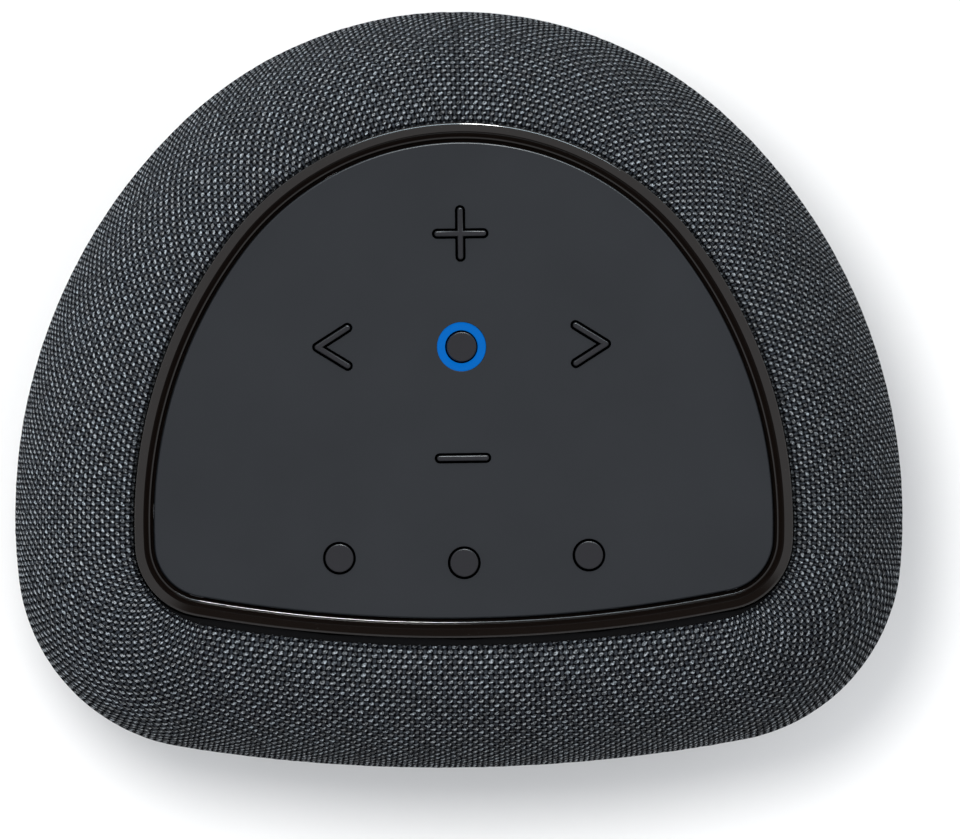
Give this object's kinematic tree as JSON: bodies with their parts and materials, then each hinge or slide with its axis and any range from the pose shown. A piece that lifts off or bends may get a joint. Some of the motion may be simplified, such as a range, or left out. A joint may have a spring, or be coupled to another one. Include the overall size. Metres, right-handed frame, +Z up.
{
  "type": "smart home hub",
  "caption": "Low fabric-wrapped smart home hub with a rounded D outline, a glossy ring and a satin top panel of sprung keys round a lit centre key.",
  "frame": {"origin": "middle of the footprint on the surface it stands on", "axes": "+Z up; +X to the right across the longest extent; -Y towards the nearly flat front, +Y towards the rounded back"},
  "size_m": [0.1456, 0.124, 0.066],
  "materials": {
    "fabric_charcoal": "woven polyester, plain weave on the bias",
    "shell_black": "moulded, fine spark texture",
    "ring_gloss": "high gloss piano black",
    "panel_satin": "satin soft-touch paint",
    "key_satin": "satin",
    "light_guide": "frosted light guide, lit blue",
    "screw_steel": "zinc plated",
    "silicone": "moulded silicone sheet",
    "board_green": "solder mask over glass-epoxy board",
    "switch_metal": "tin plated",
    "led_white": "moulded",
    "box_black": "moulded",
    "foam_grey": "open-cell foam",
    "gasket_foam": "closed-cell foam",
    "basket_steel": "stamped and powder coated",
    "plate_zinc": "zinc plated",
    "magnet_ferrite": "sintered ferrite",
    "coil_copper": "enamelled copper wire",
    "cone_paper": "pressed pulp",
    "surround_rubber": "moulded",
    "spider_cloth": "resin-treated corrugated cloth",
    "terminal_brass": "tin-brass tags",
    "wire_red": "insulated wire",
    "heat_aluminium": "sheet",
    "component_black": "moulded",
    "ribbon_white": "flat flexible cable",
    "connector_ivory": "moulded",
    "antenna_flex": "flexible printed circuit",
    "inlet_steel": "nickel plated",
    "base_black": "moulded, fine texture",
    "foot_rubber": "moulded"
  },
  "bodies": {
    "hub": {"fabric_cover": "fabric_charcoal", "grille_shell": "shell_black", "top_bezel": "ring_gloss", "control_panel": "panel_satin", "light_ring": "light_guide", "top_frame": "shell_black", "frame_screws": "screw_steel", "keypad_membrane": "silicone", "key_board": "board_green", "key_board_screws": "screw_steel", "tact_switches": "switch_metal", "ring_leds": "led_white", "enclosure_body": "box_black", "enclosure_lid": "box_black", "damping_foam": "foam_grey", "driver_gasket": "gasket_foam", "driver_basket": "basket_steel", "front_plate": "plate_zinc", "driver_magnet": "magnet_ferrite", "pole_plate": "plate_zinc", "cone_surround": "surround_rubber", "spider": "spider_cloth", "driver_terminals": "terminal_brass", "driver_screws": "screw_steel", "speaker_lead": "wire_red", "lead_grommet": "gasket_foam", "main_board": "board_green", "processor_shield": "switch_metal", "heat_spreader": "heat_aluminium", "radio_module": "switch_metal", "board_components": "component_black", "main_board_screws": "screw_steel", "ribbon_cable": "ribbon_white", "ribbon_connectors": "connector_ivory", "antennas": "antenna_flex", "power_inlet": "inlet_steel", "port_panel": "base_black", "base_cover": "base_black", "base_screws": "screw_steel", "foot_ring": "foot_rubber"},
    "volume_up_key": {"volume_up_button": "key_satin"},
    "volume_down_key": {"volume_down_button": "key_satin"},
    "previous_key": {"previous_button": "key_satin"},
    "next_key": {"next_button": "key_satin"},
    "action_key": {"action_button": "key_satin"},
    "left_preset_key": {"left_preset_button": "key_satin"},
    "middle_preset_key": {"middle_preset_button": "key_satin"},
    "right_preset_key": {"right_preset_button": "key_satin"},
    "cone_assembly": {"voice_coil": "coil_copper", "speaker_cone": "cone_paper", "dust_cap": "cone_paper"}
  },
  "joints": [
    {"name": "volume_up_press", "type": "slide", "parent": "hub", "child": "volume_up_key", "axis": [0, 0, -1], "range_m": [0, 0.0005], "stiffness_N_per_m": 3000, "springref_m": -0.0002},
    {"name": "volume_down_press", "type": "slide", "parent": "hub", "child": "volume_down_key", "axis": [0, 0, -1], "range_m": [0, 0.0005], "stiffness_N_per_m": 3000, "springref_m": -0.0002},
    {"name": "previous_press", "type": "slide", "parent": "hub", "child": "previous_key", "axis": [0, 0, -1], "range_m": [0, 0.0005], "stiffness_N_per_m": 3000, "springref_m": -0.0002},
    {"name": "next_press", "type": "slide", "parent": "hub", "child": "next_key", "axis": [0, 0, -1], "range_m": [0, 0.0005], "stiffness_N_per_m": 3000, "springref_m": -0.0002},
    {"name": "action_press", "type": "slide", "parent": "hub", "child": "action_key", "axis": [0, 0, -1], "range_m": [0, 0.0005], "stiffness_N_per_m": 3000, "springref_m": -0.0002},
    {"name": "left_preset_press", "type": "slide", "parent": "hub", "child": "left_preset_key", "axis": [0, 0, -1], "range_m": [0, 0.0005], "stiffness_N_per_m": 3000, "springref_m": -0.0002},
    {"name": "middle_preset_press", "type": "slide", "parent": "hub", "child": "middle_preset_key", "axis": [0, 0, -1], "range_m": [0, 0.0005], "stiffness_N_per_m": 3000, "springref_m": -0.0002},
    {"name": "right_preset_press", "type": "slide", "parent": "hub", "child": "right_preset_key", "axis": [0, 0, -1], "range_m": [0, 0.0005], "stiffness_N_per_m": 3000, "springref_m": -0.0002},
    {"name": "cone_stroke", "type": "slide", "parent": "hub", "child": "cone_assembly", "axis": [0, -1, 0], "range_m": [-0.0012, 0.0012], "stiffness_N_per_m": 1500, "deforming": ["cone_surround", "spider"]}
  ]
}
